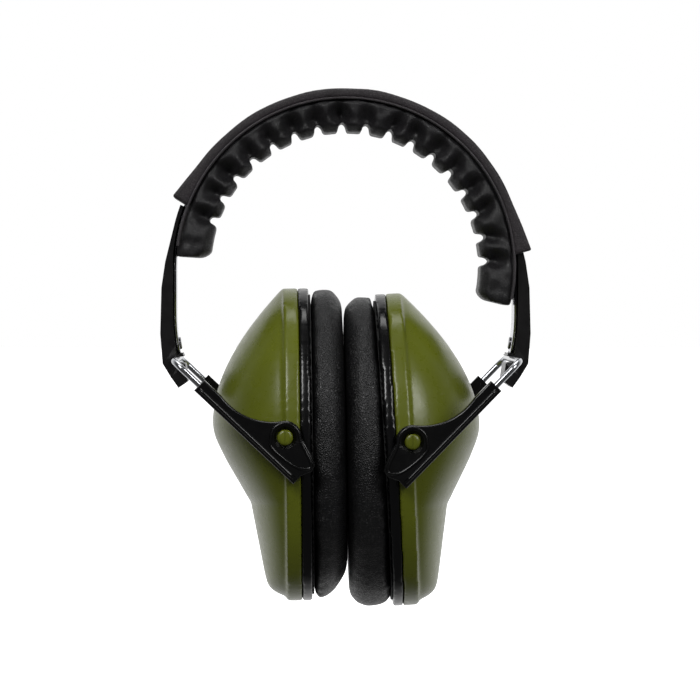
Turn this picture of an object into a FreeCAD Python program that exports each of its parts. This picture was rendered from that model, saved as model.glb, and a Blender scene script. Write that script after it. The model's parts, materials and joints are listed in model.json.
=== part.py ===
"""Folding earmuffs: a leaf-spring headband, two fold-in wire forks and two ear cups.

Frame: millimetres, +X to the wearer's one side, +Z up, -Y is the front.
The origin is the middle of the head pad's inner face, where it rests on the crown.
"""
import FreeCAD, Part
import math
import os
import Sketcher
from FreeCAD import Placement, Rotation, Vector

LEFT, RIGHT = -1, 1
FRONT, REAR = -1, 1
SIDE_NAMES = {LEFT: "left", RIGHT: "right"}
END_NAMES = {FRONT: "front", REAR: "rear"}

# Driving dimensions in millimetres and degrees: alias, value, what it is.
DIMENSIONS = [
    ("pad_inner_radius", 46.3, "arch centre to the head pad's tooth faces"),
    ("pad_thickness", 11.8, "tooth face to the spring strip"),
    ("pad_width", 25.0, "head pad, front to rear"),
    ("pad_half_angle", 95.0, "half of the arc that the pad covers"),
    ("tooth_pitch_angle", 9.9, "one tooth of the pad to the next"),
    ("tooth_count", 16, "teeth between the pad's two end blocks"),
    ("notch_depth", 3.3, "height of a pad tooth"),
    ("notch_mouth", 3.2, "gap between two teeth at their faces"),
    ("notch_floor", 2.0, "gap between two teeth at their roots"),
    ("cover_shift_angle", 8.5, "how far pad and sleeve sit round to the right"),
    ("strip_thickness", 1.2, "spring strip"),
    ("strip_width", 15.0, "spring strip, front to rear"),
    ("sleeve_cover", 1.9, "sleeve over the strip's outer face"),
    ("sleeve_width", 27.0, "sleeve, front to rear"),
    ("sleeve_half_angle", 76.5, "half of the arc that the sleeve covers"),
    ("sleeve_slot_play", 0.4, "slot in the sleeve, wider than the strip"),
    ("flap_standoff", 2.9, "free end of the sleeve above its own curve"),
    ("flap_bevel_angle", 1.0, "slant of the sleeve's free ends"),
    ("tunnel_play", 1.4, "sleeve's tunnel over the rail, above the rail's web"),
    ("rail_start_angle", 69.5, "upper end of the side rail"),
    ("rail_width", 20.0, "side rail, front to rear"),
    ("web_thickness", 1.2, "rail over the strip's outer face"),
    ("flange_height", 4.0, "rail flanges over the strip's outer face"),
    ("flange_width", 3.0, "each rail flange, front to rear"),
    ("flange_start_angle", 77.0, "where the rail's flanges start to rise"),
    ("channel_drop", 3.9, "arch centre down to the rail channel's upper end"),
    ("straight_drop", 16.0, "arch centre down to where the strip leans in"),
    ("lean_radius", 70.0, "lower bend of the strip"),
    ("strip_end_drop", 30.0, "arch centre down to the strip's end"),
    ("hinge_half_span", 58.0, "symmetry plane to a fork's crossbar"),
    ("hinge_drop", 32.0, "arch centre down to a fork's crossbar"),
    ("foot_width", 22.0, "rail foot, front to rear"),
    ("foot_reach", 9.6, "crossbar down to the foot's tip"),
    ("rivet_drop", 26.6, "arch centre down to the band rivet"),
    ("rivet_shank", 2.4, "band rivet shank diameter"),
    ("rivet_head", 6.0, "band rivet head diameter"),
    ("rivet_dome", 3.0, "band rivet head height"),
    ("rivet_tail", 0.7, "band rivet tail height"),
    ("rivet_tail_play", 0.06, "between the strip's curved inner face and the rivet's tail"),
    ("rivet_play", 0.1, "rivet hole over shank, on diameter"),
    ("wire_diameter", 2.2, "fork wire"),
    ("fork_width", 80.0, "between the two legs' centre lines"),
    ("fork_bend", 4.5, "fork corner, to the wire's centre line"),
    ("leg_length", 46.0, "crossbar to the leg's end"),
    ("left_fork_angle", 43.4, "left legs below horizontal"),
    ("right_fork_angle", 45.7, "right legs below horizontal"),
    ("crossbar_play", 0.1, "snap bore over wire, on diameter"),
    ("leg_play", 0.16, "arm bore over wire, on diameter"),
    ("arm_thickness", 4.8, "arm, front to rear"),
    ("arm_start", 11.5, "crossbar to the arm's mouth"),
    ("arm_end", 57.2, "crossbar to the arm's closed end"),
    ("arm_end_wall", 2.2, "wall that closes the arm's bore"),
    ("arm_radius", 2.45, "half height of the arm's tube"),
    ("arm_edge", 0.7, "rounded arm edges"),
    ("pin_along", 44.5, "crossbar to cup pin, along the leg"),
    ("pin_offset", 7.0, "leg's centre line to cup pin"),
    ("boss_radius", 5.6, "arm's eye boss"),
    ("eye_recess", 3.8, "radius of the ring sunk round the pin"),
    ("eye_recess_depth", 0.5, "depth of that ring"),
    ("pin_diameter", 5.7, "cup pin"),
    ("pin_play", 0.14, "eye over pin, on diameter"),
    ("pin_sink", 0.3, "pin's end below the arm's outer face"),
    ("left_cup_tilt", 0.8, "left cup, bottom turned to +X"),
    ("right_cup_tilt", 3.3, "right cup, bottom turned to +X"),
    ("contact_tilt", 1.1, "plane between the two cushions, bottom to +X"),
    ("cushion_gap", 0.5, "between the two cushions"),
    ("cup_height", 108.0, "ear cup, top to bottom"),
    ("cup_width", 74.0, "ear cup, front to rear"),
    ("cup_end_radius", 29.0, "round ends of the cup's oval"),
    ("cup_top", 50.0, "cup pin up to the cup's top"),
    ("rim_width", 5.2, "rim band, from the base plate to the step"),
    ("rim_step", 0.5, "rim band proud of the dome"),
    ("shell_depth", 30.0, "cup rim to the dome's crest"),
    ("shell_wall", 2.4, "cup shell wall"),
    ("crest_height", 3.5, "cup pin up to the dome's crest"),
    ("upper_bend", 100.0, "how roundly the dome bends above its crest"),
    ("upper_slope", 1.6, "depth lost for each millimetre up, far from the crest"),
    ("lower_bend", 4.0, "how roundly the dome bends below its crest"),
    ("lower_slope", 0.6, "depth lost for each millimetre down, far from the crest"),
    ("chin_top", 23.5, "cup pin down to where the chin starts"),
    ("chin_slope", 0.18, "depth lost for each millimetre down the chin"),
    ("chin_round", 9.0, "rounded bottom of the chin"),
    ("dome_tip_width", 20.0, "dome section's least width, at the cup's top and bottom"),
    ("plate_thickness", 3.6, "base plate"),
    ("opening_height", 62.0, "ear opening in the base plate"),
    ("opening_width", 42.0, "ear opening in the base plate"),
    ("opening_end_radius", 17.0, "round ends of the ear opening"),
    ("ring_thickness", 0.6, "cushion ring"),
    ("ring_inset", 2.2, "cushion ring inside the base plate's edge"),
    ("collar_play", 0.4, "ring collar in the base plate, on diameter"),
    ("collar_wall", 1.2, "ring collar"),
    ("cushion_inset", 1.2, "cushion inside the base plate's edge"),
    ("cushion_wall", 15.0, "cushion's soft wall round the ear"),
    ("cushion_round", 4.0, "rounded cushion edges"),
    ("foam_thickness", 9.0, "acoustic foam"),
    ("foam_inset", 14.0, "acoustic foam inside the cup's edge"),
]

# Hollow inside: depth, height of its middle from the pin, half height, half width.
HOLLOW = [(-0.5, -4.0, 50.5, 34.0), (5.0, -4.0, 47.5, 32.5), (9.5, -2.5, 42.5, 29.0),
          (17.0, 4.5, 24.5, 20.0), (25.0, 4.0, 10.0, 7.0)]
NOMINAL_CUP_HEIGHT, NOMINAL_SHELL_DEPTH, NOMINAL_CUP_WIDTH = 108.0, 30.0, 74.0

doc = FreeCAD.newDocument("Earmuffs")
sheet = doc.addObject("Spreadsheet::Sheet", "Sizes")
for row, (alias, value, meaning) in enumerate(DIMENSIONS, start=1):
    sheet.set(f"A{row}", meaning)
    sheet.set(f"B{row}", str(value))
    sheet.setAlias(f"B{row}", alias)
doc.recompute()


class Size:
    """The spreadsheet's values, read by alias."""

    def __getattr__(self, alias):
        return float(sheet.get(alias))


size = Size()
bodies = []


# ---------------------------------------------------------------- sketch and feature helpers

class Outline:
    """Collects the lines and arcs of one closed or open sketch path."""

    def __init__(self, x, y):
        self.start = Vector(x, y, 0)
        self.point = self.start
        self.items = []

    def line(self, x, y):
        end = Vector(x, y, 0)
        self.items.append(Part.LineSegment(self.point, end))
        self.point = end
        return self

    def arc(self, middle, end):
        middle, end = Vector(*middle, 0), Vector(*end, 0)
        self.items.append(Part.Arc(self.point, middle, end))
        self.point = end
        return self

    def close(self):
        self.items.append(Part.LineSegment(self.point, self.start))
        return self.items


def circle(x, y, radius):
    return [Part.Circle(Vector(x, y, 0), Vector(0, 0, 1), radius)]


def oval(x, y, half_x, half_y, end_radius):
    """Four tangent arcs: two round ends along y and two flat flanks."""
    reach = half_y - end_radius
    flank = (half_x**2 + reach**2 - end_radius**2) / (2 * (half_x - end_radius))
    turn = math.atan2(reach, flank - half_x)
    items = []
    for sign in (1, -1):
        middle = Vector(x, y + sign * reach, 0)
        tip = Vector(x, y + sign * half_y, 0)
        near = middle + Vector(end_radius * math.cos(turn), sign * end_radius * math.sin(turn), 0)
        far = middle + Vector(-end_radius * math.cos(turn), sign * end_radius * math.sin(turn), 0)
        items.append(Part.Arc(near, tip, far))
    right_top, right_bottom = items[0].StartPoint, items[1].StartPoint
    left_top, left_bottom = items[0].EndPoint, items[1].EndPoint
    items.append(Part.Arc(left_top, Vector(x - half_x, y, 0), left_bottom))
    items.append(Part.Arc(right_bottom, Vector(x + half_x, y, 0), right_top))
    return items


def new_body(name, placement=None):
    body = doc.addObject("PartDesign::Body", name)
    body.Label = name
    body.Placement = placement or Placement()
    bodies.append(body)
    return body


def origin_item(body, role):
    return next(item for item in body.Origin.OriginFeatures if item.Role == role)


def new_sketch(body, role, items, offset=0.0, turn=None, shift=None):
    """A sketch on one of the body's own origin planes, moved along and turned about its axes."""
    sketch = body.newObject("Sketcher::SketchObject", f"{body.Name}_sketch")
    sketch.AttachmentSupport = [(origin_item(body, role), "")]
    sketch.MapMode = "FlatFace"
    move = shift or Vector(0, 0, offset)
    sketch.AttachmentOffset = Placement(move, turn or Rotation())
    sketch.addGeometry(items, False)
    sketch.Visibility = False
    return sketch


def extrude(kind, body, sketch, length, symmetric=True, flip=False):
    """A pad or a pocket whose length is an expression on the sheet."""
    feature = body.newObject(f"PartDesign::{kind}", f"{body.Name}_{kind.lower()}")
    feature.Profile = sketch
    feature.setExpression("Length", length)
    feature.SideType = "Symmetric" if symmetric else "One side"
    feature.Reversed = flip
    return feature


def pad(body, sketch, length, symmetric=True, flip=False):
    return extrude("Pad", body, sketch, length, symmetric, flip)


def pocket(body, sketch, length, symmetric=True, flip=False):
    """A pocket that must take something away."""
    doc.recompute()
    before = body.Shape.Volume
    feature = extrude("Pocket", body, sketch, length, symmetric, flip)
    doc.recompute()
    if body.Shape.Volume > before - 0.01:
        raise RuntimeError(f"{body.Label}: a pocket cut nothing")
    return feature


def loft(kind, body, sketches):
    feature = body.newObject(f"PartDesign::{kind}", f"{body.Name}_loft")
    feature.Profile = sketches[0]
    feature.Sections = sketches[1:]
    return feature


def round_edges(body, base, radius, keep):
    """Fillet the edges of the body's last feature that pass a test."""
    doc.recompute()
    names = [f"Edge{i}" for i, edge in enumerate(base.Shape.Edges, start=1) if keep(edge)]
    feature = body.newObject("PartDesign::Fillet", f"{body.Name}_fillet")
    feature.Base = (base, names)
    feature.setExpression("Radius", radius)
    return feature


# ---------------------------------------------------------------- shared places

def polar(angle, radius):
    """A point of the arch, by angle from the crown."""
    turn = math.radians(angle)
    return (radius * math.sin(turn), radius * math.cos(turn))


def strip_inner():
    return size.pad_inner_radius + size.pad_thickness


def strip_outer():
    return strip_inner() + size.strip_thickness


def web_outer():
    return strip_outer() + size.web_thickness


def arch_placement(angle=0.0):
    """Parts of the arch are drawn about the arch's centre."""
    return Placement(Vector(0, 0, -size.pad_inner_radius), Rotation(Vector(0, 1, 0), angle))


def lean(side, offset, drop):
    """A point of the strip's leaning lower end, and its angle."""
    turn = math.asin((drop - size.straight_drop) / size.lean_radius)
    reach = size.lean_radius + offset
    x = strip_outer() - size.lean_radius + reach * math.cos(turn)
    z = -size.straight_drop - reach * math.sin(turn)
    return (side * x, z), math.degrees(turn)


def trace_down(outline, side, offset, drop):
    """From the arch's end at z = 0 down the straight and round the lean."""
    outline.line(side * (strip_outer() + offset), -size.straight_drop)
    middle, _ = lean(side, offset, (size.straight_drop + drop) / 2)
    end, _ = lean(side, offset, drop)
    return outline.arc(middle, end)


def trace_up(outline, side, offset, drop):
    """The same way back up to z = 0."""
    middle, _ = lean(side, offset, (size.straight_drop + drop) / 2)
    outline.arc(middle, (side * (strip_outer() + offset), -size.straight_drop))
    return outline.line(side * (strip_outer() + offset), 0)


def hinge_point(side):
    return Vector(side * size.hinge_half_span, 0, -size.pad_inner_radius - size.hinge_drop)


def fork_turn(side):
    angle = size.left_fork_angle if side == LEFT else size.right_fork_angle
    return Rotation(Vector(0, 1, 0), -side * angle)


def fork_placement(side, y=0.0):
    """Fork and arms are drawn with the crossbar at the origin and the legs along X."""
    return Placement(hinge_point(side) + Vector(0, y, 0), fork_turn(side))


def pin_point(side):
    return fork_placement(side).multVec(Vector(-side * size.pin_along, 0, size.pin_offset))


def cup_placement(side):
    """Cup pieces are drawn with the pin at the origin and the crest along +X or -X."""
    tilt = size.left_cup_tilt if side == LEFT else size.right_cup_tilt
    return Placement(pin_point(side), Rotation(Vector(0, 1, 0), -tilt))


def cup_middle():
    return size.cup_top - size.cup_height / 2


def cup_oval(inset):
    return oval(0, cup_middle(), size.cup_width / 2 - inset, size.cup_height / 2 - inset,
                size.cup_end_radius - inset)


def opening_oval(inset):
    return oval(0, cup_middle(), size.opening_width / 2 - inset, size.opening_height / 2 - inset,
                size.opening_end_radius - inset)


# ---------------------------------------------------------------- headband

def make_spring_strip():
    body = new_body("spring_strip", arch_placement())
    radius = strip_outer()
    drop = size.strip_end_drop
    start, _ = lean(LEFT, 0, drop)
    outline = Outline(*start)
    trace_up(outline, LEFT, 0, drop)
    outline.arc((0, radius), (radius, 0))
    trace_down(outline, RIGHT, 0, drop)
    corner, _ = lean(RIGHT, -size.strip_thickness, drop)
    outline.line(*corner)
    trace_up(outline, RIGHT, -size.strip_thickness, drop)
    outline.arc((0, strip_inner()), (-strip_inner(), 0))
    trace_down(outline, LEFT, -size.strip_thickness, drop)
    pad(body, new_sketch(body, "XZ_Plane", outline.close()), "Sizes.strip_width")
    for side in (LEFT, RIGHT):
        cut_rivet_hole(body, side)


def cut_rivet_hole(body, side):
    (x, z), angle = lean(side, 0, size.rivet_drop)
    radius = (size.rivet_shank + size.rivet_play) / 2
    sketch = new_sketch(body, "YZ_Plane", circle(0, 0, radius), shift=Vector(0, z, x),
                        turn=Rotation(Vector(1, 0, 0), side * angle))
    pocket(body, sketch, "4 * Sizes.flange_height")


def make_head_sleeve():
    body = new_body("head_sleeve", arch_placement())
    outer = strip_outer() + size.sleeve_cover
    corner_radius = outer + size.flap_standoff
    lift = math.degrees(math.acos(outer / corner_radius))
    ends = {side: side * size.sleeve_half_angle + size.cover_shift_angle for side in (LEFT, RIGHT)}
    tunnel_start = size.rail_start_angle - 0.6
    tunnel_end = ends[RIGHT] + 4.0
    outline = Outline(*polar(ends[LEFT], corner_radius))
    outline.line(*polar(ends[LEFT] + lift, outer))
    outline.arc((0, outer), polar(ends[RIGHT] - lift, outer))
    outline.line(*polar(ends[RIGHT], corner_radius))
    outline.line(*polar(ends[RIGHT] + size.flap_bevel_angle, strip_inner()))
    outline.arc((0, strip_inner()), polar(ends[LEFT] - size.flap_bevel_angle, strip_inner()))
    pad(body, new_sketch(body, "XZ_Plane", outline.close()), "Sizes.sleeve_width")
    slot_end = tunnel_start + 1.0
    slot = Outline(*polar(-slot_end, strip_outer()))
    slot.arc((0, strip_outer()), polar(slot_end, strip_outer()))
    slot.line(*polar(slot_end, strip_inner() - 1))
    slot.arc((0, strip_inner() - 1), polar(-slot_end, strip_inner() - 1))
    sketch = new_sketch(body, "XZ_Plane", slot.close())
    pocket(body, sketch, "Sizes.strip_width + Sizes.sleeve_slot_play")
    roof, below = web_outer() + size.tunnel_play, strip_inner() - 1
    middle = (tunnel_start + tunnel_end) / 2
    tunnel = Outline(*polar(tunnel_start, roof)).arc(polar(middle, roof), polar(tunnel_end, roof))
    tunnel.line(*polar(tunnel_end, below))
    tunnel.arc(polar(middle, below), polar(tunnel_start, below))
    sketch = new_sketch(body, "XZ_Plane", tunnel.close())
    pocket(body, sketch, "Sizes.rail_width + Sizes.sleeve_slot_play")


def make_head_pad():
    body = new_body("head_pad", arch_placement(size.cover_shift_angle))
    reach = size.pad_half_angle
    inner, outer = size.pad_inner_radius, strip_inner()
    outline = Outline(*polar(-reach, outer))
    outline.arc((0, outer), polar(reach, outer)).line(*polar(reach, inner))
    outline.arc((0, inner), polar(-reach, inner))
    pad(body, new_sketch(body, "XZ_Plane", outline.close()), "Sizes.pad_width")
    half_turn = size.tooth_count * size.tooth_pitch_angle / 2
    notch = Outline(-size.notch_mouth / 2, inner - 1.5)
    notch.line(-size.notch_mouth / 2, inner).line(-size.notch_floor / 2, inner + size.notch_depth)
    notch.line(size.notch_floor / 2, inner + size.notch_depth).line(size.notch_mouth / 2, inner)
    notch.line(size.notch_mouth / 2, inner - 1.5)
    # The front plane's normal is -Y, so a turn about it by +angle moves the notch to -X.
    sketch = new_sketch(body, "XZ_Plane", notch.close(),
                        turn=Rotation(Vector(0, 0, 1), half_turn))
    first = pocket(body, sketch, "Sizes.pad_width + 2")
    pattern = body.newObject("PartDesign::PolarPattern", "notch_pattern")
    pattern.Originals = [first]
    pattern.Axis = (origin_item(body, "Y_Axis"), [""])
    pattern.setExpression("Angle", "Sizes.tooth_count * Sizes.tooth_pitch_angle")
    pattern.setExpression("Occurrences", "Sizes.tooth_count + 1")
    body.Tip = pattern


def make_side_rail(side):
    body = new_body(f"{SIDE_NAMES[side]}_side_rail", arch_placement())
    start, radius, outer = size.rail_start_angle, strip_outer(), web_outer()
    flange = radius + size.flange_height
    hinge_x, hinge_z = size.hinge_half_span, -size.hinge_drop
    tip = hinge_z - size.foot_reach
    strip_end, _ = lean(side, 0, size.strip_end_drop)
    lip, _ = lean(side, -size.strip_thickness - 0.9, size.strip_end_drop)
    outline = Outline(*polar(side * start, radius))
    outline.arc(polar(side * (start + 90) / 2, radius), (side * radius, 0))
    trace_down(outline, side, 0, size.strip_end_drop)
    outline.line(*lip)
    add_foot(outline, side, hinge_x, hinge_z, tip)
    rise = size.flange_start_angle
    outline.line(side * (flange + 0.3), -size.straight_drop - 7)
    outline.line(side * (flange - 0.1), -0.45 * size.straight_drop)
    outline.line(side * (flange - 1.4), 0.1 * size.straight_drop)
    outline.line(*polar(side * rise, outer))
    outline.arc(polar(side * (start + rise) / 2, outer), polar(side * start, outer))
    pad(body, new_sketch(body, "XZ_Plane", outline.close()), "Sizes.rail_width")
    foot = Outline(side * (hinge_x - 2.6), hinge_z + 1.6)
    add_foot(foot, side, hinge_x, hinge_z, tip)
    pad(body, new_sketch(body, "XZ_Plane", foot.close()), "Sizes.foot_width")
    cut_channel(body, side)
    cut_rivet_hole(body, side)
    bore = circle(side * hinge_x, hinge_z, (size.wire_diameter + size.crossbar_play) / 2)
    pocket(body, new_sketch(body, "XZ_Plane", bore), "2 * Sizes.foot_width")
    half_slot = 0.42 * size.wire_diameter
    slot = Outline(side * hinge_x, hinge_z + half_slot).line(side * hinge_x, hinge_z - half_slot)
    slot.line(side * (hinge_x - 6), hinge_z - half_slot - 0.8)
    slot.line(side * (hinge_x - 6), hinge_z + half_slot + 0.8)
    pocket(body, new_sketch(body, "XZ_Plane", slot.close()), "2 * Sizes.foot_width")


def add_foot(outline, side, hinge_x, hinge_z, tip):
    """The foot that grips the fork's crossbar, from its inner lip to its outer shoulder."""
    outline.line(side * (hinge_x - 3.9), tip + 2.2)
    outline.line(side * (hinge_x - 0.7), tip)
    outline.line(side * (hinge_x + 1.9), hinge_z - 6.0)
    outline.line(side * (hinge_x + 4.8), hinge_z - 1.2)
    return outline


def cut_channel(body, side):
    """The rail's outer face is sunk between its two flanges, down to the foot."""
    upper, lower = size.channel_drop, size.strip_end_drop
    web = size.web_thickness
    outline = Outline(side * web_outer(), -upper)
    outline.line(side * web_outer(), -size.straight_drop)
    outline.arc(lean(side, web, (size.straight_drop + lower) / 2)[0], lean(side, web, lower)[0])
    outline.line(side * (web_outer() + 8), -lower - 1.5)
    outline.line(side * (web_outer() + 8), -upper)
    sketch = new_sketch(body, "XZ_Plane", outline.close())
    pocket(body, sketch, "Sizes.rail_width - 2 * Sizes.flange_width")


def make_band_rivet(side):
    """Drawn on the X axis with its head outward, then turned to the lean of the strip."""
    (x, z), angle = lean(side, 0, size.rivet_drop)
    place = arch_placement().multiply(Placement(Vector(x, 0, z), Rotation(Vector(0, 1, 0), side * angle)))
    body = new_body(f"{SIDE_NAMES[side]}_band_rivet", place)
    inward = -side * (size.strip_thickness + size.rivet_tail_play)
    shank = new_sketch(body, "YZ_Plane", circle(0, 0, size.rivet_shank / 2), offset=inward)
    pad(body, shank, "Sizes.strip_thickness + Sizes.rivet_tail_play + Sizes.web_thickness",
        symmetric=False, flip=side < 0)
    tail = new_sketch(body, "YZ_Plane", circle(0, 0, 0.35 * size.rivet_head), offset=inward)
    pad(body, tail, "Sizes.rivet_tail", symmetric=False, flip=side > 0)
    head = new_sketch(body, "YZ_Plane", circle(0, 0, size.rivet_head / 2),
                      offset=side * size.web_thickness)
    dome = pad(body, head, "Sizes.rivet_dome", symmetric=False, flip=side < 0)
    top = size.web_thickness + size.rivet_dome

    def on_top(edge):
        return all(abs(side * v.X - top) < 1e-4 for v in edge.Vertexes)

    round_edges(body, dome, "Sizes.rivet_dome * 0.8", on_top)


# ---------------------------------------------------------------- forks and arms

def make_wire_fork(side):
    """One bent wire: a crossbar in the rail's foot and two parallel legs."""
    body = new_body(f"{SIDE_NAMES[side]}_wire_fork", fork_placement(side))
    half, bend, toward = size.fork_width / 2, size.fork_bend, -side
    tip = toward * size.leg_length
    nook = bend * (1 - math.sqrt(0.5))
    path = Outline(tip, -half).line(toward * bend, -half)
    path.arc((toward * nook, -half + nook), (0, -half + bend)).line(0, half - bend)
    path.arc((toward * nook, half - nook), (toward * bend, half)).line(tip, half)
    spine = new_sketch(body, "XY_Plane", path.items)
    section = new_sketch(body, "YZ_Plane", circle(-half, 0, size.wire_diameter / 2), offset=tip)
    radius = section.addConstraint(Sketcher.Constraint("Radius", 0, size.wire_diameter / 2))
    section.setExpression(f"Constraints[{radius}]", "Sizes.wire_diameter / 2")
    pipe = body.newObject("PartDesign::AdditivePipe", f"{body.Name}_pipe")
    pipe.Profile = section
    pipe.Spine = (spine, [f"Edge{i}" for i in range(1, len(path.items) + 1)])


def make_arm(side, end):
    """A moulded arm: a blind tube for the leg, an eye for the cup pin and a tail."""
    name = f"{SIDE_NAMES[side]}_{END_NAMES[end]}_arm"
    body = new_body(name, fork_placement(side, end * size.fork_width / 2))
    toward, radius = -side, size.arm_radius
    eye_x, eye_z, boss = size.pin_along, size.pin_offset, size.boss_radius
    outline = Outline(toward * size.arm_start, -radius).line(toward * size.arm_end, -radius)
    outline.line(toward * size.arm_end, 0.5 * radius)
    outline.line(toward * (size.arm_end + 1.6), eye_z - 2.3)
    outline.line(toward * (size.arm_end + 1.1), eye_z + 0.2)
    shoulder = (toward * (eye_x + 0.77 * boss), eye_z + 0.64 * boss)
    outline.arc((toward * (eye_x + 9.4), eye_z + 2.2), shoulder)
    heel = (toward * (eye_x - 0.87 * boss), eye_z + 0.5 * boss)
    outline.arc((toward * eye_x, eye_z + boss), heel)
    outline.arc((toward * (eye_x - 11.5), eye_z - 2.5), (toward * (eye_x - 25.0), radius))
    outline.line(toward * size.arm_start, radius)
    pad(body, new_sketch(body, "XZ_Plane", outline.close()), "Sizes.arm_thickness")
    half = size.arm_thickness / 2
    mouth = new_sketch(body, "YZ_Plane", circle(0, 0, (size.wire_diameter + size.leg_play) / 2),
                       offset=toward * size.arm_start)
    pocket(body, mouth, "Sizes.arm_end - Sizes.arm_end_wall - Sizes.arm_start", symmetric=False,
           flip=toward > 0)
    hole = circle(toward * eye_x, eye_z, (size.pin_diameter + size.pin_play) / 2)
    pocket(body, new_sketch(body, "XZ_Plane", hole), "2 * Sizes.arm_thickness")
    ring = circle(toward * eye_x, eye_z, size.eye_recess)
    sunk = pocket(body, new_sketch(body, "XZ_Plane", ring, offset=-end * half),
                  "Sizes.eye_recess_depth", symmetric=False, flip=end > 0)

    def on_outline(edge):
        return all(abs(v.Y - end * half) < 1e-4 for v in edge.Vertexes) and not edge.isClosed()

    round_edges(body, sunk, "Sizes.arm_edge", on_outline)


# ---------------------------------------------------------------- ear cups

def cup_half_width(height):
    """Half width of the cup's oval at one height: a side arc between two end arcs."""
    half, tall, end = size.cup_width / 2, size.cup_height / 2, size.cup_end_radius
    level = abs(height - cup_middle())
    centre = tall - end
    side_radius = (half**2 + centre**2 - end**2) / (2 * (half - end))
    join = centre + end * centre / (side_radius - end)
    if level <= join:
        return half - side_radius + math.sqrt(side_radius**2 - level**2)
    return math.sqrt(max(0.0, end**2 - (level - centre) ** 2))


def dome_section(body, side, height, depth):
    """Half an ellipse standing on the rim plane, at one height of the cup."""
    rim = -side * size.rim_width
    width = max(cup_half_width(height) - size.rim_step, size.dome_tip_width / 2)
    ellipse = Part.Ellipse(Vector(rim, width, 0), Vector(rim + side * depth, 0, 0), Vector(rim, 0, 0))
    half = Part.ArcOfEllipse(ellipse, 0, math.pi)
    chord = Part.LineSegment(half.EndPoint, half.StartPoint)
    return new_sketch(body, "XY_Plane", [half, chord], offset=height)


def dome_depth(height):
    """Depth of the dome at one height: a rounded crest between two slopes."""
    rise = height - size.crest_height
    bend, slope = ((size.upper_bend, size.upper_slope) if rise > 0
                   else (size.lower_bend, size.lower_slope))
    return size.shell_depth - (math.hypot(bend, slope * rise) - bend)


def chin_depth(height):
    """Depth of the chin at one height: a shallow slope with a rounded bottom."""
    depth = dome_depth(-size.chin_top) + size.chin_slope * (height + size.chin_top)
    turn = size.cup_top - size.cup_height + size.chin_round - height
    if turn <= 0:
        return depth
    return depth - size.chin_round + math.sqrt(max(0.0, size.chin_round**2 - turn**2))


def even_steps(first, last, count):
    return [first + (last - first) * step / count for step in range(count + 1)]


def make_cup_shell(side):
    body = new_body(f"{SIDE_NAMES[side]}_cup_shell", cup_placement(side))
    bottom = size.cup_top - size.cup_height
    upper = even_steps(size.cup_top + 1, -size.chin_top, 14)
    loft("AdditiveLoft", body, [dome_section(body, side, z, dome_depth(z)) for z in upper])
    lower = even_steps(-size.chin_top, bottom, 9)
    loft("AdditiveLoft", body, [dome_section(body, side, z, chin_depth(z)) for z in lower])
    rim = -side * size.rim_width
    band = new_sketch(body, "YZ_Plane", cup_oval(0), offset=rim)
    pad(body, band, "Sizes.rim_width", symmetric=False, flip=side < 0)
    frame = Outline(-90, -120).line(90, -120).line(90, 120).line(-90, 120).close()
    trim = new_sketch(body, "YZ_Plane", frame + cup_oval(0), offset=rim)
    pocket(body, trim, "2 * Sizes.shell_depth + 20")
    step = new_sketch(body, "YZ_Plane", frame + cup_oval(size.rim_step))
    pocket(body, step, "2 * Sizes.shell_depth", symmetric=False, flip=side > 0)
    tall = size.cup_height / NOMINAL_CUP_HEIGHT
    deep = size.shell_depth / NOMINAL_SHELL_DEPTH
    wide = size.cup_width / NOMINAL_CUP_WIDTH
    hollow = []
    for depth, middle, half_height, half_width in HOLLOW:
        items = oval(0, middle * tall, half_width * wide, half_height * tall,
                     min(half_width * wide, half_height * tall) * 0.78)
        place = rim + side * depth * (deep if depth > 0 else 1)
        hollow.append(new_sketch(body, "YZ_Plane", items, offset=place))
    loft("SubtractiveLoft", body, hollow)
    for end in (FRONT, REAR):
        root = size.cup_width / 2 - size.shell_wall
        stub = new_sketch(body, "XZ_Plane", circle(0, 0, size.pin_diameter / 2), offset=-end * root)
        radius = stub.addConstraint(Sketcher.Constraint("Radius", 0, size.pin_diameter / 2))
        stub.setExpression(f"Constraints[{radius}]", "Sizes.pin_diameter / 2")
        length = "(Sizes.fork_width + Sizes.arm_thickness - Sizes.cup_width) / 2"
        pad(body, stub, f"{length} + Sizes.shell_wall - Sizes.pin_sink", symmetric=False,
            flip=end > 0)


def make_base_plate(side):
    body = new_body(f"{SIDE_NAMES[side]}_base_plate", cup_placement(side))
    sketch = new_sketch(body, "YZ_Plane", cup_oval(0) + opening_oval(0),
                        offset=-side * size.rim_width)
    pad(body, sketch, "Sizes.plate_thickness", symmetric=False, flip=side > 0)


def make_acoustic_foam(side):
    body = new_body(f"{SIDE_NAMES[side]}_acoustic_foam", cup_placement(side))
    sketch = new_sketch(body, "YZ_Plane", cup_oval(size.foam_inset), offset=-side * size.rim_width)
    pad(body, sketch, "Sizes.foam_thickness", symmetric=False, flip=side < 0)


def make_cushion_ring(side):
    body = new_body(f"{SIDE_NAMES[side]}_cushion_ring", cup_placement(side))
    face = -side * (size.rim_width + size.plate_thickness)
    collar_inset = size.collar_play / 2 + size.collar_wall
    sketch = new_sketch(body, "YZ_Plane", cup_oval(size.ring_inset) + opening_oval(collar_inset),
                        offset=face)
    pad(body, sketch, "Sizes.ring_thickness", symmetric=False, flip=side > 0)
    collar = opening_oval(size.collar_play / 2) + opening_oval(collar_inset)
    pad(body, new_sketch(body, "YZ_Plane", collar, offset=face),
        "Sizes.plate_thickness", symmetric=False, flip=side < 0)


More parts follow.
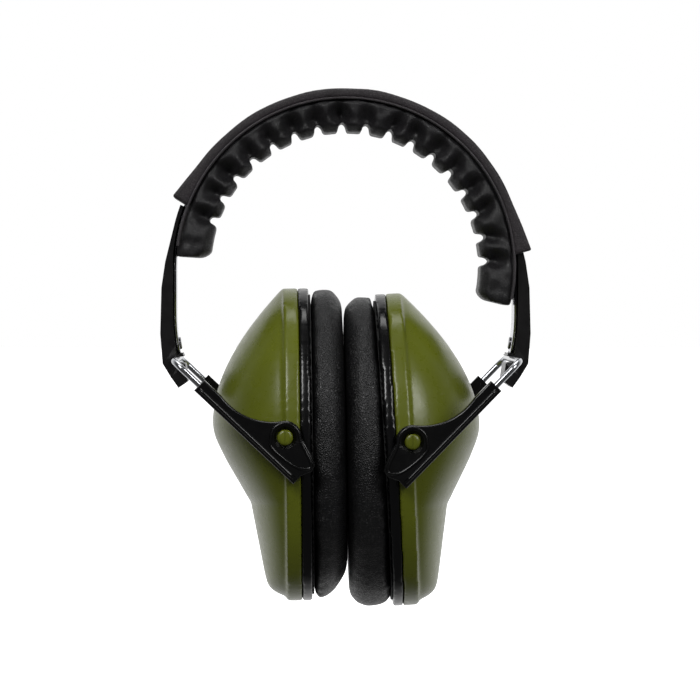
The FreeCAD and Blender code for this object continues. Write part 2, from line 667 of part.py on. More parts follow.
def make_cushion(side):
    """A foam ring whose ear side is cut off at the plane where the two cushions meet."""
    body = new_body(f"{SIDE_NAMES[side]}_cushion", cup_placement(side))
    face = -side * (size.rim_width + size.plate_thickness + size.ring_thickness)
    inner = size.cushion_inset + size.cushion_wall
    items = cup_oval(size.cushion_inset) + cup_oval(inner)
    sketch = new_sketch(body, "YZ_Plane", items, offset=face)
    pad(body, sketch, "Sizes.shell_depth", symmetric=False, flip=side > 0)
    middle = (pin_point(LEFT) + pin_point(RIGHT)) / 2
    plane = Placement(Vector(side * size.cushion_gap / 2, 0, middle.z),
                      Rotation(Vector(0, 1, 0), -size.contact_tilt))
    to_cup = cup_placement(side).inverse().multiply(plane)
    corners = [to_cup.multVec(Vector(*point)) for point in
               ((0, 0, 90), (0, 0, -90), (-side * 60, 0, -90), (-side * 60, 0, 90))]
    cut = Outline(corners[0].x, corners[0].z)
    for corner in corners[1:]:
        cut.line(corner.x, corner.z)
    trimmed = pocket(body, new_sketch(body, "XZ_Plane", cut.close()), "2 * Sizes.cup_width")
    axis = to_cup.Rotation.multVec(Vector(1, 0, 0))
    level = axis.dot(corners[0])

    def on_face(edge):
        return all(abs(axis.dot(v.Point) - level) < 1e-3 for v in edge.Vertexes)

    round_edges(body, trimmed, "Sizes.cushion_round", on_face)


# ---------------------------------------------------------------- the whole

def make_all():
    make_spring_strip()
    make_head_sleeve()
    make_head_pad()
    for side in (LEFT, RIGHT):
        make_side_rail(side)
        make_band_rivet(side)
        make_wire_fork(side)
        for end in (FRONT, REAR):
            make_arm(side, end)
        make_cup_shell(side)
        make_base_plate(side)
        make_acoustic_foam(side)
        make_cushion_ring(side)
        make_cushion(side)
    doc.recompute()


def check_all():
    """Stop before writing if an object failed or a sub-part isn't one sound solid."""
    for item in doc.Objects:
        if any(word in state for state in item.State for word in ("Invalid", "Error")):
            raise RuntimeError(f"{item.Name} failed: {item.State}")
    for body in bodies:
        shape = body.Shape
        if shape.isNull() or not shape.isValid() or len(shape.Solids) != 1:
            raise RuntimeError(f"{body.Label} is not one valid solid: {len(shape.Solids)}")


def export_all():
    os.makedirs("parts", exist_ok=True)
    for body in bodies:
        body.Shape.exportStep(f"parts/{body.Label}.step")
        box = body.Shape.BoundBox
        print(f"{body.Label:24s} {body.Shape.Volume / 1000:8.2f} cm3  x {box.XMin:7.1f} {box.XMax:7.1f}"
              f"  y {box.YMin:6.1f} {box.YMax:6.1f}  z {box.ZMin:7.1f} {box.ZMax:7.1f}")


make_all()
check_all()
export_all()
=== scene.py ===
"""Folding earmuffs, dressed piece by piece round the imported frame."""

import json
import logging
import math
from dataclasses import dataclass, field
from enum import Enum
from typing import Callable

import bpy
from mathutils import Matrix, Vector, noise


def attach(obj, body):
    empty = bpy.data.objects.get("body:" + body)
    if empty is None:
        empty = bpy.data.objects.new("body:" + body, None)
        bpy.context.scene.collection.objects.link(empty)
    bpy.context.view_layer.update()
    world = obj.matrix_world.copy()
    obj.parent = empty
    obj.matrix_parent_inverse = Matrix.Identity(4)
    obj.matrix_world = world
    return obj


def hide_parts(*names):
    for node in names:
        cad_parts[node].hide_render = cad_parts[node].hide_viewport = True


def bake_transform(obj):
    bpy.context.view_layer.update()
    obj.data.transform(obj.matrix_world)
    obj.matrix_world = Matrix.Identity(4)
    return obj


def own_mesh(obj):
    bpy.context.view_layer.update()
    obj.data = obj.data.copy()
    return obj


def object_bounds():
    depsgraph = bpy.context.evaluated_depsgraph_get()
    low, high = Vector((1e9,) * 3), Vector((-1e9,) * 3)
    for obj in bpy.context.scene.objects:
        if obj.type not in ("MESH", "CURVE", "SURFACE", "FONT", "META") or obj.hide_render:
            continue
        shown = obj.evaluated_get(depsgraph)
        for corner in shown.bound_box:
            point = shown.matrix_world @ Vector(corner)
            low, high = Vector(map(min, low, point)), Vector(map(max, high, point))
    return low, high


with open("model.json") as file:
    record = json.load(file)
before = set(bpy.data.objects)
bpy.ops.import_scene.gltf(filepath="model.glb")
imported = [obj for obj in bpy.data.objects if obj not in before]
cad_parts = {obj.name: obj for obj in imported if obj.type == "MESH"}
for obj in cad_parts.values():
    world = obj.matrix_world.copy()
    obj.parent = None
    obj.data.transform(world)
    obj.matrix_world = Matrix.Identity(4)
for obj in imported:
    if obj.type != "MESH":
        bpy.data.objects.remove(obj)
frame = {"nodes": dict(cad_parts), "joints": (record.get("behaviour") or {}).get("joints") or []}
CAD_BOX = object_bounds()

MM = 0.001
PAD_INNER_RADIUS = 46.3
ARCH_CENTRE = Vector((0.0, 0.0, -PAD_INNER_RADIUS)) * MM
log = logging.getLogger("earmuffs")

Piece = bpy.types.Object
Material = bpy.types.Material
NodeTree = bpy.types.NodeTree


class Side(Enum):
    """The wearer's two sides, as this object is seen from its front."""

    LEFT = ("left", -1)
    RIGHT = ("right", 1)

    @property
    def word(self) -> str:
        """The side's word in node and body names."""
        return self.value[0]

    @property
    def sign(self) -> int:
        """-1 on the left, 1 on the right."""
        return self.value[1]

    @property
    def other(self) -> "Side":
        """The side across from this one."""
        return Side.RIGHT if self is Side.LEFT else Side.LEFT

    def named(self, name: str) -> str:
        """A node's or body's name on this side."""
        return f"{self.word}_{name}"


# ---------------------------------------------------------------- modelling


def only(piece: Piece) -> Piece:
    """Makes one piece the only selected one, and the active one.

    Args:
        piece: the piece to work on.
    Returns:
        The same piece.
    """
    for other in bpy.context.selected_objects:
        other.select_set(False)
    piece.select_set(True)
    bpy.context.view_layer.objects.active = piece
    return piece


def clean_copy(node: str, name: str) -> Piece:
    """Copies a CAD node and merges its loose triangles.

    Args:
        node: the CAD node's name.
        name: the new piece's name.
    Returns:
        A free piece that stands for the node.
    """
    piece = bpy.data.objects.new(name, frame["nodes"][node].data.copy())
    piece.data.materials.clear()
    bpy.context.scene.collection.objects.link(piece)
    only(piece)
    bpy.ops.object.mode_set(mode="EDIT")
    bpy.ops.mesh.select_all(action="SELECT")
    bpy.ops.mesh.remove_doubles(threshold=0.002 * MM)
    bpy.ops.object.mode_set(mode="OBJECT")
    return piece


def apply(piece: Piece, kind: str, **settings: object) -> Piece:
    """Adds one modifier to a piece and applies it.

    Args:
        piece: the piece to change.
        kind: the modifier's type.
        **settings: values set on the modifier first.
    Returns:
        The same piece.
    """
    only(piece)
    modifier = piece.modifiers.new(kind.title(), kind)
    for key, value in settings.items():
        setattr(modifier, key, value)
    bpy.ops.object.modifier_apply(modifier=modifier.name)
    return piece


def smooth(piece: Piece, degrees: float = 35.0) -> Piece:
    """Shades a piece smooth, with edges sharper than an angle left crisp.

    Args:
        piece: the piece to shade.
        degrees: the sharpest edge that is still smoothed.
    Returns:
        The same piece.
    """
    only(piece)
    bpy.ops.object.shade_smooth_by_angle(angle=math.radians(degrees))
    return apply(piece, "WEIGHTED_NORMAL", keep_sharp=True, weight=80)


def reshape(piece: Piece, move: Callable[[Vector], Vector]) -> Piece:
    """Moves every point of a piece.

    Args:
        piece: the piece to change.
        move: gives a point's new place from its old one, both in metres.
    Returns:
        The same piece.
    """
    for vertex in piece.data.vertices:
        vertex.co = move(vertex.co.copy())
    piece.data.update()
    return piece


def even_mesh(piece: Piece, voxel: float, passes: int) -> Piece:
    """Gives a closed piece an even mesh and relaxes it.

    Args:
        piece: the piece to change.
        voxel: the new faces' size in mm.
        passes: how many times the mesh is relaxed.
    Returns:
        The same piece.
    """
    apply(piece, "REMESH", mode="VOXEL", voxel_size=voxel * MM)
    return apply(piece, "SMOOTH", factor=0.5, iterations=passes)


def cut_away(piece: Piece, point: Vector, normal: Vector) -> Piece:
    """Cuts off and closes what lies on the normal's side of a plane.

    Args:
        piece: the closed piece to cut.
        point: a point of the plane.
        normal: the side that is thrown away.
    Returns:
        The same piece.
    """
    only(piece)
    bpy.ops.object.mode_set(mode="EDIT")
    bpy.ops.mesh.select_all(action="SELECT")
    bpy.ops.mesh.bisect(
        plane_co=point, plane_no=normal, use_fill=True, clear_outer=True, threshold=1e-7
    )
    bpy.ops.object.mode_set(mode="OBJECT")
    return piece


def step(value: float, low: float, high: float) -> float:
    """A smooth 0 to 1 as a value goes from low to high."""
    t = min(max((value - low) / (high - low), 0.0), 1.0)
    return t * t * (3 - 2 * t)


def hump(distance: float, width: float) -> float:
    """A smooth 1 at no distance, that fades over a width."""
    return math.exp(-((distance / width) ** 2))


def to_arch(point: Vector) -> tuple[float, float, float]:
    """A point's angle from the crown in degrees, its radius and its Y, in mm."""
    across = point - ARCH_CENTRE
    radius = math.hypot(across.x, across.z) / MM
    return math.degrees(math.atan2(across.x, across.z)), radius, point.y / MM


def from_arch(angle: float, radius: float, y: float) -> Vector:
    """The point at an angle from the crown in degrees, a radius and a Y, in mm."""
    turn = math.radians(angle)
    out = Vector((radius * math.sin(turn), y, radius * math.cos(turn))) * MM
    return ARCH_CENTRE + out


def along_arch(angle: float) -> Vector:
    """The direction round the arch, towards the right, at an angle from the crown."""
    turn = math.radians(angle)
    return Vector((math.cos(turn), 0.0, -math.sin(turn)))


# ---------------------------------------------------------------- finishes


class Nodes:
    """A material or group tree with a short way to add and join nodes."""

    def __init__(self, tree: NodeTree) -> None:
        """Takes the tree that nodes are added to."""
        self.tree = tree

    def add(self, kind: str, settings: dict | None = None, **sockets: object) -> bpy.types.Node:
        """Adds one node.

        Args:
            kind: the node's type, without its ShaderNode prefix.
            settings: properties of the node.
            **sockets: inputs by name, with _ for a space, as values or sockets.
        Returns:
            The new node.
        """
        node = self.tree.nodes.new("ShaderNode" + kind)
        for key, value in (settings or {}).items():
            setattr(node, key, value)
        for key, value in sockets.items():
            self.join(value, node.inputs[key.replace("_", " ")])
        return node

    def join(self, value: object, socket: bpy.types.NodeSocket) -> None:
        """Feeds a value or another socket into a socket."""
        if isinstance(value, bpy.types.NodeSocket):
            self.tree.links.new(value, socket)
        else:
            socket.default_value = value

    def maths(self, operation: str, first: object, second: object = 0.0) -> bpy.types.NodeSocket:
        """Adds a Math node and gives its result."""
        node = self.add("Math", {"operation": operation})
        self.join(first, node.inputs[0])
        self.join(second, node.inputs[1])
        return node.outputs[0]

    def mix(self, factor: object, first: object, second: object) -> bpy.types.NodeSocket:
        """Adds a colour Mix node and gives its result."""
        node = self.add("Mix", {"data_type": "RGBA"})
        self.join(factor, node.inputs[0])
        self.join(first, node.inputs[6])
        self.join(second, node.inputs[7])
        return node.outputs[2]

    def ramp(self, value: object, low: float, high: float) -> bpy.types.NodeSocket:
        """Maps low to high onto 0 to 1, smoothly and clamped."""
        node = self.add(
            "MapRange", {"interpolation_type": "SMOOTHSTEP"}, Value=value, From_Min=low, From_Max=high
        )
        return node.outputs[0]

    def group(self, tree: NodeTree, **sockets: object) -> bpy.types.Node:
        """Places a node group with its own values."""
        node = self.tree.nodes.new("ShaderNodeGroup")
        node.node_tree = tree
        for key, value in sockets.items():
            self.join(value, node.inputs[key.replace("_", " ")])
        return node


def new_group(name: str, inputs: dict[str, float], outputs: list[str]) -> Nodes:
    """Starts a shader node group that takes a Vector and some numbers.

    Args:
        name: the group's name.
        inputs: number inputs and their defaults.
        outputs: number outputs.
    Returns:
        The group's tree, with its input and output nodes named In and Out.
    """
    tree = bpy.data.node_groups.new(name, "ShaderNodeTree")
    tree.interface.new_socket("Vector", in_out="INPUT", socket_type="NodeSocketVector")
    for label, value in inputs.items():
        socket = tree.interface.new_socket(label, in_out="INPUT", socket_type="NodeSocketFloat")
        socket.default_value = value
    for label in outputs:
        tree.interface.new_socket(label, in_out="OUTPUT", socket_type="NodeSocketFloat")
    for kind, label in (("NodeGroupInput", "In"), ("NodeGroupOutput", "Out")):
        node = tree.nodes.new(kind)
        node.name = label
    return Nodes(tree)


def make_pebble_grain() -> NodeTree:
    """Pebbled leather grain: rounded cells of uneven size with pores between them."""
    group = new_group("pebble_grain", {"Scale": 1200.0, "Wander": 0.3}, ["Height", "Crease"])
    take, give = group.tree.nodes["In"].outputs, group.tree.nodes["Out"].inputs
    bend = group.add("TexNoise", Vector=take["Vector"], Scale=group.maths("MULTIPLY", take["Scale"], 0.4))
    pull = group.add("VectorMath", {"operation": "SCALE"})
    group.join(bend.outputs["Color"], pull.inputs[0])
    group.join(group.maths("DIVIDE", take["Wander"], take["Scale"]), pull.inputs["Scale"])
    place = group.add("VectorMath", {"operation": "ADD"})
    group.join(take["Vector"], place.inputs[0])
    group.join(pull.outputs[0], place.inputs[1])
    cells = group.add(
        "TexVoronoi", {"feature": "DISTANCE_TO_EDGE"}, Vector=place.outputs[0], Scale=take["Scale"]
    )
    dome = group.ramp(cells.outputs["Distance"], 0.0, 0.32)
    fine = group.add(
        "TexNoise", Vector=take["Vector"], Scale=group.maths("MULTIPLY", take["Scale"], 3.0), Detail=3.0
    )
    fine_part = group.maths("MULTIPLY", fine.outputs["Fac"], 0.25)
    group.join(group.maths("ADD", group.maths("MULTIPLY", dome, 0.75), fine_part), give["Height"])
    group.join(group.maths("SUBTRACT", 1.0, dome), give["Crease"])
    return group.tree


def make_drift() -> NodeTree:
    """Slow uneven tone, as in any moulded or dyed surface, with finer mottling."""
    group = new_group("tone_drift", {"Scale": 60.0}, ["Broad", "Fine"])
    take, give = group.tree.nodes["In"].outputs, group.tree.nodes["Out"].inputs
    broad = group.add("TexNoise", Vector=take["Vector"], Scale=take["Scale"], Detail=2.0)
    fine = group.add(
        "TexNoise", Vector=take["Vector"], Scale=group.maths("MULTIPLY", take["Scale"], 12.0), Detail=4.0
    )
    group.join(group.ramp(broad.outputs["Fac"], 0.32, 0.68), give["Broad"])
    group.join(group.ramp(fine.outputs["Fac"], 0.35, 0.65), give["Fine"])
    return group.tree


def make_scuffs() -> NodeTree:
    """Sparse fine rub marks, long in one direction, from handling."""
    group = new_group("rub_marks", {"Scale": 300.0, "Spread": 0.1}, ["Mask"])
    take, give = group.tree.nodes["In"].outputs, group.tree.nodes["Out"].inputs
    turn = group.add("Mapping", Vector=take["Vector"])
    turn.inputs["Rotation"].default_value = (0.5, 0.9, 0.3)
    turn.inputs["Scale"].default_value = (1.0, 6.0, 9.0)
    lines = group.add("TexNoise", Vector=turn.outputs[0], Scale=take["Scale"], Detail=3.0)
    where = group.add(
        "TexNoise", Vector=take["Vector"], Scale=group.maths("MULTIPLY", take["Scale"], 0.2), Detail=1.0
    )
    sharp = group.ramp(lines.outputs["Fac"], 0.62, 0.72)
    patch = group.ramp(where.outputs["Fac"], 0.5, 0.7)
    both = group.maths("MULTIPLY", sharp, patch)
    group.join(group.maths("MULTIPLY", both, take["Spread"]), give["Mask"])
    return group.tree


PEBBLE_GRAIN = make_pebble_grain()
TONE_DRIFT = make_drift()
RUB_MARKS = make_scuffs()

Colour = tuple[float, float, float]


def rgba(colour: Colour) -> tuple[float, float, float, float]:
    """A linear colour from display values of 0 to 255."""
    return tuple((c / 255.0) ** 2.2 for c in colour) + (1.0,)


def start_material(name: str) -> tuple[Material, Nodes, bpy.types.Node, bpy.types.NodeSocket]:
    """Starts a material.

    Args:
        name: the material's name.
    Returns:
        The material, its nodes, its shader and its Object coordinates.
    """
    material = bpy.data.materials.new(name)
    material.use_nodes = True
    nodes = Nodes(material.node_tree)
    shader = material.node_tree.nodes["Principled BSDF"]
    place = nodes.add("TexCoord").outputs["Object"]
    return material, nodes, shader, place


@dataclass(frozen=True)
class Leatherette:
    """Soft plastic-coated cloth with a pebbled face.

    Sizes of grain are per metre, and depth is in metres.
    """

    name: str
    face: Colour
    # crease: painted shade for the grain's valleys
    crease: Colour
    worn: Colour
    grain: float = 1500.0
    depth: float = 0.00006
    roughness: float = 0.42
    sheen: float = 0.1

    def material(self) -> Material:
        """Builds the material."""
        material, nodes, shader, place = start_material(self.name)
        grain = nodes.group(PEBBLE_GRAIN, Vector=place, Scale=self.grain, Wander=0.45)
        drift = nodes.group(TONE_DRIFT, Vector=place, Scale=70.0)
        rubs = nodes.group(RUB_MARKS, Vector=place, Scale=260.0, Spread=0.35)
        tone = nodes.mix(drift.outputs["Broad"], rgba(self.face), rgba(self.worn))
        tone = nodes.mix(rubs.outputs["Mask"], tone, rgba(self.worn))
        # Painted shade: the grain's valleys are darkened towards the crease colour.
        pores = nodes.maths("MULTIPLY", grain.outputs["Crease"], 0.7)
        nodes.join(nodes.mix(pores, tone, rgba(self.crease)), shader.inputs["Base Color"])
        rough = nodes.maths("MULTIPLY", drift.outputs["Fine"], 0.12)
        rough = nodes.maths("ADD", rough, self.roughness)
        rough = nodes.maths("ADD", rough, nodes.maths("MULTIPLY", grain.outputs["Crease"], 0.15))
        nodes.join(rough, shader.inputs["Roughness"])
        shader.inputs["Sheen Weight"].default_value = self.sheen
        shader.inputs["Sheen Roughness"].default_value = 0.4
        bump = nodes.add("Bump", Strength=1.0, Distance=self.depth, Height=grain.outputs["Height"])
        nodes.join(bump.outputs["Normal"], shader.inputs["Normal"])
        return material


@dataclass(frozen=True)
class MouldedPlastic:
    """Injection-moulded plastic, from satin to gloss."""

    name: str
    face: Colour
    shade: Colour
    roughness: float = 0.3
    texture: float = 900.0
    depth: float = 0.00001
    rubs: float = 0.3

    def material(self) -> Material:
        """Builds the material."""
        material, nodes, shader, place = start_material(self.name)
        drift = nodes.group(TONE_DRIFT, Vector=place, Scale=28.0)
        rubs = nodes.group(RUB_MARKS, Vector=place, Scale=180.0, Spread=self.rubs)
        tone = nodes.mix(drift.outputs["Broad"], rgba(self.face), rgba(self.shade))
        pale = tuple(min(255.0, c * 1.25 + 14.0) for c in self.face)
        tone = nodes.mix(nodes.maths("MULTIPLY", rubs.outputs["Mask"], 0.5), tone, rgba(pale))
        nodes.join(tone, shader.inputs["Base Color"])
        rough = nodes.maths("MULTIPLY", drift.outputs["Fine"], 0.05)
        rough = nodes.maths("ADD", rough, nodes.maths("MULTIPLY", rubs.outputs["Mask"], 0.25))
        nodes.join(nodes.maths("ADD", rough, self.roughness), shader.inputs["Roughness"])
        skin = nodes.add("TexNoise", Vector=place, Scale=self.texture, Detail=4.0)
        bump = nodes.add("Bump", Strength=1.0, Distance=self.depth, Height=skin.outputs["Fac"])
        nodes.join(bump.outputs["Normal"], shader.inputs["Normal"])
        return material


@dataclass(frozen=True)
class BrightSteel:
    """Plated or polished steel with faint drawing marks."""

    name: str
    face: Colour
    roughness: float = 0.14

    def material(self) -> Material:
        """Builds the material."""
        material, nodes, shader, place = start_material(self.name)
        shader.inputs["Metallic"].default_value = 1.0
        drift = nodes.group(TONE_DRIFT, Vector=place, Scale=90.0)
        rubs = nodes.group(RUB_MARKS, Vector=place, Scale=420.0, Spread=0.8)
        dull = tuple(c * 0.8 for c in self.face)
        tone = nodes.mix(nodes.maths("MULTIPLY", drift.outputs["Broad"], 0.5), rgba(self.face), rgba(dull))
        nodes.join(nodes.mix(rubs.outputs["Mask"], tone, rgba(dull)), shader.inputs["Base Color"])
        rough = nodes.maths("MULTIPLY", drift.outputs["Fine"], 0.1)
        rough = nodes.maths("ADD", rough, nodes.maths("MULTIPLY", rubs.outputs["Mask"], 0.2))
        nodes.join(nodes.maths("ADD", rough, self.roughness), shader.inputs["Roughness"])
        skin = nodes.add("TexNoise", Vector=place, Scale=2500.0, Detail=2.0)
        bump = nodes.add("Bump", Strength=0.6, Distance=0.000004, Height=skin.outputs["Fac"])
        nodes.join(bump.outputs["Normal"], shader.inputs["Normal"])
        return material


@dataclass(frozen=True)
class OpenCellFoam:
    """Sound-absorbing foam with an open, pitted face, its pits darkened by painted shade."""

    name: str
    face: Colour
    # Colour of the painted shade in the open cells.
    pit: Colour

    def material(self) -> Material:
        """Builds the material."""
        material, nodes, shader, place = start_material(self.name)
        cells = nodes.group(PEBBLE_GRAIN, Vector=place, Scale=900.0, Wander=0.8)
        drift = nodes.group(TONE_DRIFT, Vector=place, Scale=120.0)
        # Painted shade: the foam's hollow cells are darkened towards the dark pit colour.
        tone = nodes.mix(cells.outputs["Height"], rgba(self.face), rgba(self.pit))
        shade = nodes.maths("MULTIPLY", drift.outputs["Fine"], 0.3)
        nodes.join(nodes.mix(shade, tone, rgba(self.pit)), shader.inputs["Base Color"])
        rough = nodes.maths("ADD", 0.85, nodes.maths("MULTIPLY", shade, 0.3))
        nodes.join(rough, shader.inputs["Roughness"])
        deep = nodes.maths("SUBTRACT", 1.0, cells.outputs["Height"])
        bump = nodes.add("Bump", Strength=1.0, Distance=0.0003, Height=deep)
        nodes.join(bump.outputs["Normal"], shader.inputs["Normal"])
        return material


# The crease colours below are painted shade for each grain's valleys.
SLEEVE_HIDE = Leatherette(
    name="sleeve_hide",
    face=(52, 47, 50),
    crease=(22, 19, 21),
    worn=(62, 56, 60),
    grain=1500.0,
    depth=0.00006,
    roughness=0.42,
    sheen=0.12,
)
PAD_HIDE = Leatherette(
    name="pad_hide",
    face=(31, 30, 32),
    crease=(10, 10, 11),
    worn=(38, 36, 39),
    grain=1500.0,
    depth=0.00006,
    roughness=0.36,
    sheen=0.08,
)
CUSHION_HIDE = Leatherette(
    name="cushion_hide",
    face=(13, 13, 15),
    crease=(3, 3, 4),
    worn=(17, 17, 20),
    grain=1300.0,
    depth=0.00014,
    roughness=0.3,
    sheen=0.0,
)
# The piping's face is paler than the sleeve's: a painted highlight for the bright line along the seam.
PIPING_HIGHLIGHT_HIDE = Leatherette(
    name="piping_highlight_hide",
    face=(66, 62, 65),
    crease=(34, 32, 34),
    worn=(78, 74, 77),
    grain=1800.0,
    depth=0.00003,
    roughness=0.32,
    sheen=0.1,
)
OLIVE_SHELL = MouldedPlastic(
    name="olive_shell",
    face=(104, 112, 30),
    shade=(95, 102, 26),
    roughness=0.27,
    texture=500.0,
    depth=0.00002,
    rubs=0.25,
)
GLOSS_BLACK = MouldedPlastic(
    name="gloss_black",
    face=(5, 5, 8),
    shade=(7, 7, 10),
    roughness=0.2,
    texture=300.0,
    depth=0.000004,
    rubs=0.2,
)
RING_BLACK = MouldedPlastic(
    name="ring_black",
    face=(6, 6, 7),
    shade=(9, 9, 10),
    roughness=0.6,
    texture=900.0,
    depth=0.00002,
    rubs=0.2,
)
ARM_BLACK = MouldedPlastic(
    name="arm_black",
    face=(8, 8, 9),
    shade=(12, 12, 13),
    roughness=0.2,
    texture=700.0,
    depth=0.000008,
    rubs=0.4,
)
RAIL_BLACK = MouldedPlastic(
    name="rail_black",
    face=(18, 17, 18),
    shade=(24, 23, 24),
    roughness=0.3,
    texture=900.0,
    depth=0.00002,
    rubs=0.4,
)
SPRING_STEEL = BrightSteel(
    name="spring_steel",
    face=(205, 205, 210),
    roughness=0.16,
)
WIRE_STEEL = BrightSteel(
    name="fork_steel",
    face=(200, 202, 206),
    roughness=0.14,
)
RIVET_STEEL = BrightSteel(
    name="rivet_steel_finish",
    face=(190, 190, 194),
    roughness=0.24,
)
# The foam's dark pit colour is painted shade in its open cells.
CUP_FOAM = OpenCellFoam(
    name="cup_foam",
    face=(58, 58, 60),
    pit=(20, 20, 22),
)


@dataclass
class Wardrobe:
    """Every finish of the object, made once and shared."""

    made: dict[str, Material] = field(default_factory=dict)

    def of(self, finish: Leatherette | MouldedPlastic | BrightSteel | OpenCellFoam) -> Material:
        """The finish's material, made on first use."""
        if finish.name not in self.made:
            self.made[finish.name] = finish.material()
        return self.made[finish.name]

    def dress(self, piece: Piece, finish: object) -> Piece:
        """Gives a piece its material.

        Args:
            piece: the piece to dress.
            finish: one of the finishes above.
        Returns:
            The same piece.
        """
        piece.data.materials.clear()
        piece.data.materials.append(self.of(finish))
        return piece


WARDROBE = Wardrobe()


def rigid_skin(
    node: str, body: str, finish: object, degrees: float = 35.0, voxel: float = 0.0
) -> Piece:
    """Stands a cleanly shaded copy in for a rigid CAD node.

    Args:
        node: the CAD node's name.
        body: the body it rides on.
        finish: its finish.
        degrees: edges sharper than this stay crisp.
        voxel: the even mesh's size in millimetres, or 0 to keep the CAD's faces.
    Returns:
        The new piece.
    """
    piece = clean_copy(node, f"{node}_skin")
    if voxel:
        even_mesh(piece, voxel, 6)
    smooth(piece, degrees)
    WARDROBE.dress(piece, finish)
    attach(piece, body)
    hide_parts(node)
    log.info("%s: %d faces on %s", piece.name, len(piece.data.polygons), body)
    return piece


# ---------------------------------------------------------------- headband


@dataclass
class HeadBand:
    """The spring strip with its notched pad, its sleeve and the piping between them.

    Angles are in degrees from the crown, and lengths in mm.
    """

    first_angle: float = -86.5
    last_angle: float = 103.5
    notch_middle: float = 8.5
    notch_pitch: float = 9.9
    notch_radius: float = 51.0
    last_notch: int = 8
    pad_voxel: float = 0.75
    well_depth: float = 4.4
    well_width: float = 2.6
    well_above: float = 3.8
    well_below: float = 2.6
    unevenness: float = 0.6
    bevel_radius: float = 49.0
    bevel_depth: float = 3.4
    bevel_run: float = 2.7
    seam_pull: float = 1.3
    ripple_depth: float = 0.6
    fold_depth: float = 0.4
    bulge_radius: float = 53.0
    bulge_height: float = 3.4
    bulge_depth: float = 0.5
    end_reach: float = 3.6
    end_rounding: float = 2.6
    seam_radius: float = 58.1
    half_width: float = 12.5
    sleeve_voxel: float = 0.6
    sewn_line: float = 9.6
    sewn_width: float = 0.7
    sewn_depth: float = 0.45
    wave_depth: float = 0.25
    piping_radius: float = 0.5
    piping_proud: float = 0.35
    bend_start: tuple[float, float] = (3.0, -2.0)
    bend_end: tuple[float, float] = (56.0, -40.0)

    def build(self) -> None:
        """Builds every piece of the headband, each in a left and a right half."""
        split = self.notch_middle - self.notch_pitch
        self.halve(self.pad(), "head_pad", split, PAD_HIDE)
        self.halve(self.sleeve(), "head_sleeve", 0.0, SLEEVE_HIDE)
        self.halve(self.strip(), "spring_strip", 0.0, SPRING_STEEL)
        for end, y in (("front", -1), ("rear", 1)):
            # The piping's paler finish is a painted highlight along the seam.
            self.halve(self.piping(end, y), None, 0.0, PIPING_HIGHLIGHT_HIDE)

    def halve(
        self, whole: Piece, node: str | None, split: float, finish: object
    ) -> None:
        """Cuts a piece in two at the crown, one half for each side.

        Args:
            whole: the piece over the whole arch.
            node: the CAD node it stands for, if any.
            split: the angle it is cut at.
            finish: its finish.
        """
        name = whole.name
        for side in Side:
            half = bpy.data.objects.new(f"{name}_{side.word}", whole.data.copy())
            bpy.context.scene.collection.objects.link(half)
            cut_away(half, from_arch(split, self.seam_radius, 0.0), along_arch(split) * -side.sign)
            smooth(half, 60.0)
            WARDROBE.dress(half, finish)
            if node:
                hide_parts(node)
            side.named("band")
            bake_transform(half)
            log.info("%s: %d faces", half.name, len(half.data.polygons))
        bpy.data.objects.remove(whole)

    def pad(self) -> Piece:
        """The notched pad: CAD's teeth softened, with a sewn well above each notch."""
        piece = clean_copy("head_pad", "pad")
        even_mesh(piece, self.pad_voxel, 5)
        return reshape(piece, self.pad_point)

    def pad_point(self, point: Vector) -> Vector:
        """Where a point of the smoothed pad goes."""
        angle, radius, y = to_arch(point)
        number = round((angle - self.notch_middle) / self.notch_pitch)
        number = max(-self.last_notch, min(self.last_notch, number))
        middle = self.notch_middle + number * self.notch_pitch
        uneven = noise.noise(Vector((number * 1.7, 3.1, 0.4)))
        lean = noise.noise(Vector((number * 2.3, 9.1, 1.4)))
        around = math.radians(angle - middle) * radius - lean * (radius - self.bevel_radius) * self.unevenness
        out = math.copysign(1.0, y)
        face = step(abs(y), 5.5, 11.0)
        above = radius - (self.notch_radius + 0.9 * uneven)
        tall = self.well_above if above > 0 else self.well_below
        well = hump(around, self.well_width + self.unevenness * uneven) * hump(above, tall)
        inward = self.well_depth * (1.0 + self.unevenness * uneven) * well * face
        inward += self.seam_pull * step(radius, 56.0, 57.9) * face
        ripple = noise.noise(Vector((angle * 0.3, radius * 0.25, out * 2.0)))
        fold = noise.noise(Vector((angle * 0.12 + radius * 0.2, radius * 0.5, out * 5.0)))
        inward -= (self.ripple_depth * ripple + self.fold_depth * fold) * face
        inward += self.bevel_depth * min(max(self.bevel_radius - radius, 0.0) / self.bevel_run, 1.0) * face
        tooth = 1.0 - hump(around, self.well_width)
        bulge = self.bulge_depth * tooth * hump(radius - self.bulge_radius, self.bulge_height) * face
        first, last = self.first_angle + self.end_reach, self.last_angle - self.end_reach
        past = max(first - angle, angle - last, 0.0)
        rounded = self.end_rounding * (past / self.end_reach) ** 2 * step(53.5 - radius, 0.0, 6.0)
        return from_arch(angle, radius + rounded, y - out * (inward - bulge))

    def sleeve(self) -> Piece:
        """The sleeve over the strip, with rolled edges and a sewn line inside each."""
        piece = clean_copy("head_sleeve", "sleeve")
        even_mesh(piece, self.sleeve_voxel, 4)
        return reshape(piece, self.sleeve_point)

    def sleeve_point(self, point: Vector) -> Vector:
        """Where a point of the smoothed sleeve goes."""
        angle, radius, y = to_arch(point)
        outer = step(radius, 59.6, 60.8)
        sewn = hump(abs(y) - self.sewn_line, self.sewn_width) * outer
        wave = noise.noise(Vector((angle * 0.11, y * 0.12, 4.0))) * self.wave_depth * outer
        return from_arch(angle, radius - self.sewn_depth * sewn + wave, y)

    def strip(self) -> Piece:
        """The bare spring strip."""
        return clean_copy("spring_strip", "strip")

